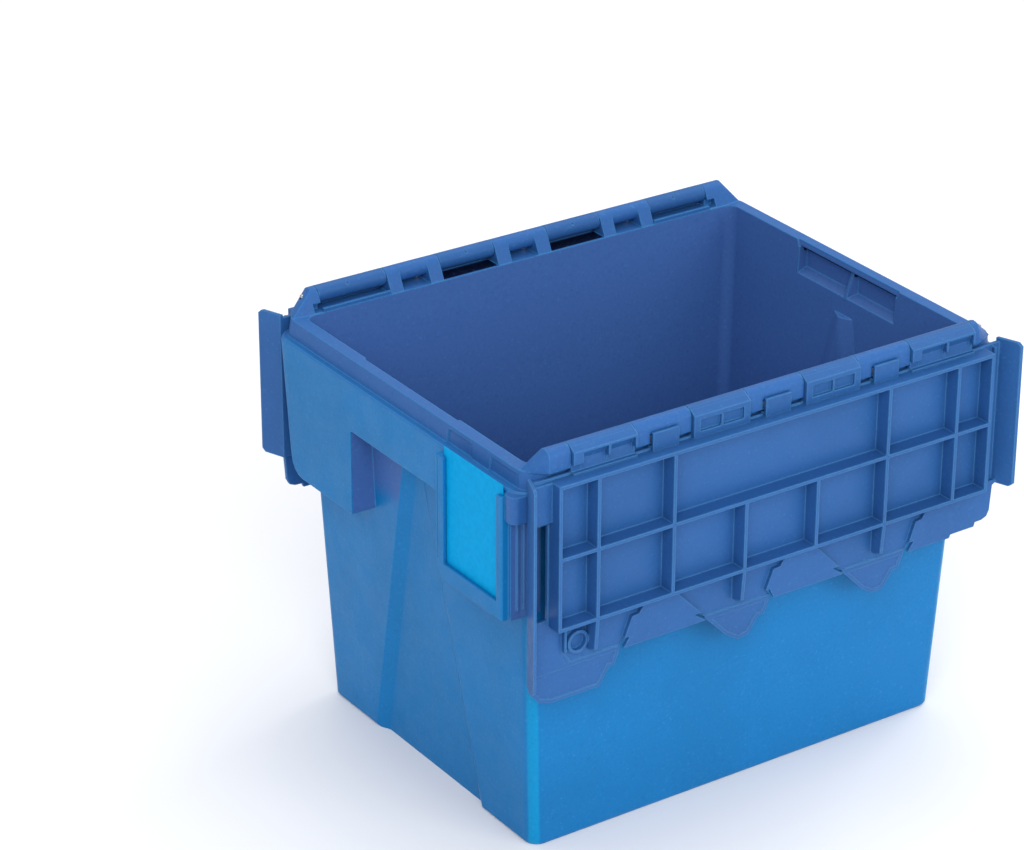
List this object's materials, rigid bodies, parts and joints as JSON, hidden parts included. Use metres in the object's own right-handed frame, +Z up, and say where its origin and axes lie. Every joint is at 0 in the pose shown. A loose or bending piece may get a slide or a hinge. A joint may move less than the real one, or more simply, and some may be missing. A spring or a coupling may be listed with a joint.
{
  "type": "attached lid stacking crate",
  "caption": "Tapered stacking crate with two toothed lid halves hinged on steel rods along its long sides, end aprons with hand grips, and a label card in a holder.",
  "frame": {"origin": "centre of the foot the crate stands on", "axes": "+Z up, X along the long side with the label holder at -X, Y across, the front lid on -Y"},
  "size_m": [0.4, 0.3276, 0.3],
  "materials": {
    "tub_plastic": "injection moulded, satin",
    "lid_plastic": "injection moulded, satin",
    "steel": "drawn bright wire",
    "card": "plain coloured plastic card"
  },
  "bodies": {
    "crate": {"tub": "tub_plastic", "hinge_rod_front": "steel", "hinge_rod_back": "steel"},
    "front_lid": {"lid_front": "lid_plastic"},
    "back_lid": {"lid_back": "lid_plastic"},
    "card": {"label_card": "card"}
  },
  "joints": [
    {"name": "front_lid_hinge", "type": "hinge", "parent": "crate", "child": "front_lid", "pos_m": [0, -0.144, 0.294], "axis": [-1, 0, 0], "range_deg": [0, 270]},
    {"name": "back_lid_hinge", "type": "hinge", "parent": "crate", "child": "back_lid", "pos_m": [0, 0.144, 0.294], "axis": [1, 0, 0], "range_deg": [0, 270]},
    {"name": "card_slide", "type": "slide", "parent": "crate", "child": "card", "axis": [0, 0, 1], "range_m": [0, 0.08]}
  ]
}
